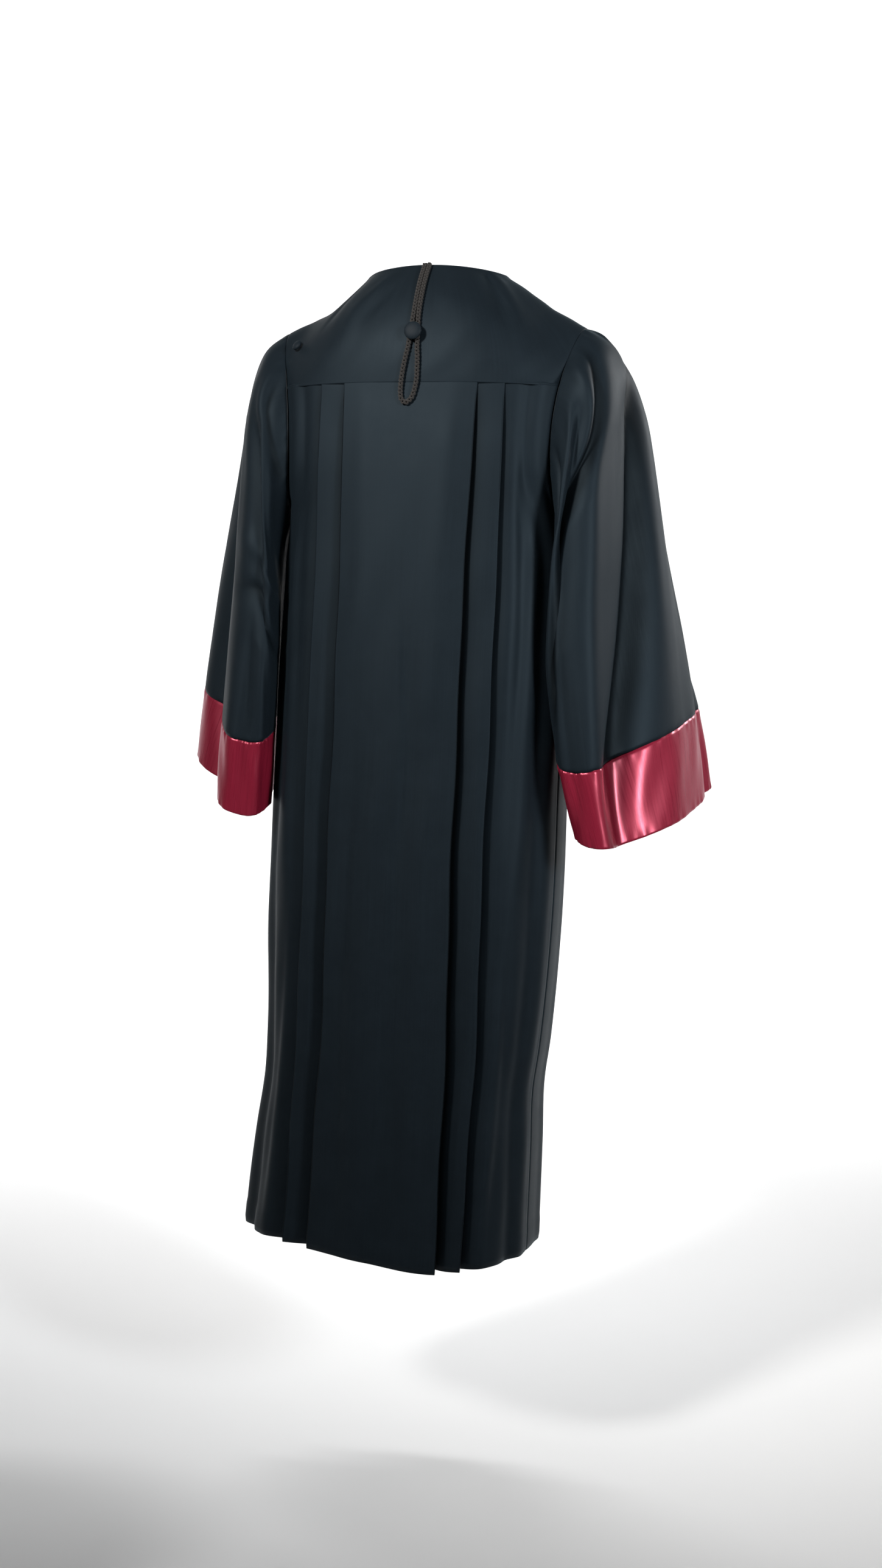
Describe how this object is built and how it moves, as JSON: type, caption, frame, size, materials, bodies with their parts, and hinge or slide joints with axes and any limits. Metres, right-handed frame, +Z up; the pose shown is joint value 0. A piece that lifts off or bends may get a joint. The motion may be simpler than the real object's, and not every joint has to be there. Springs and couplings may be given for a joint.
{
  "type": "graduation gown",
  "caption": "Long academic gown, worn and filled out, with a yoke, knife pleats down the back, wide bell sleeves, satin sleeve bands and a buttoned cord loop.",
  "frame": {"origin": "midway between the two points where the neck edge crosses the shoulder line, where the wearer's shoulders carry the gown", "axes": "+Z up, along the gown's length; the gown faces -Y, so its pleated back faces +Y; +X towards the wearer's left"},
  "size_m": [0.6839, 0.2967, 1.2426],
  "materials": {
    "black_cloth": "matt woven polyester, black with a faint blue-green tint and a fine upright twill",
    "maroon_satin": "glossy maroon satin",
    "dark_braid": "dark grey-brown braided cord"
  },
  "bodies": {
    "root": {"back_panel": "black_cloth", "yoke": "black_cloth", "front_left": "black_cloth", "front_right": "black_cloth", "sleeve_left": "black_cloth", "sleeve_right": "black_cloth", "cuff_band_left": "maroon_satin", "cuff_band_right": "maroon_satin", "back_button": "black_cloth", "shoulder_button_left": "black_cloth", "hood_cord": "dark_braid"}
  },
  "joints": []
}
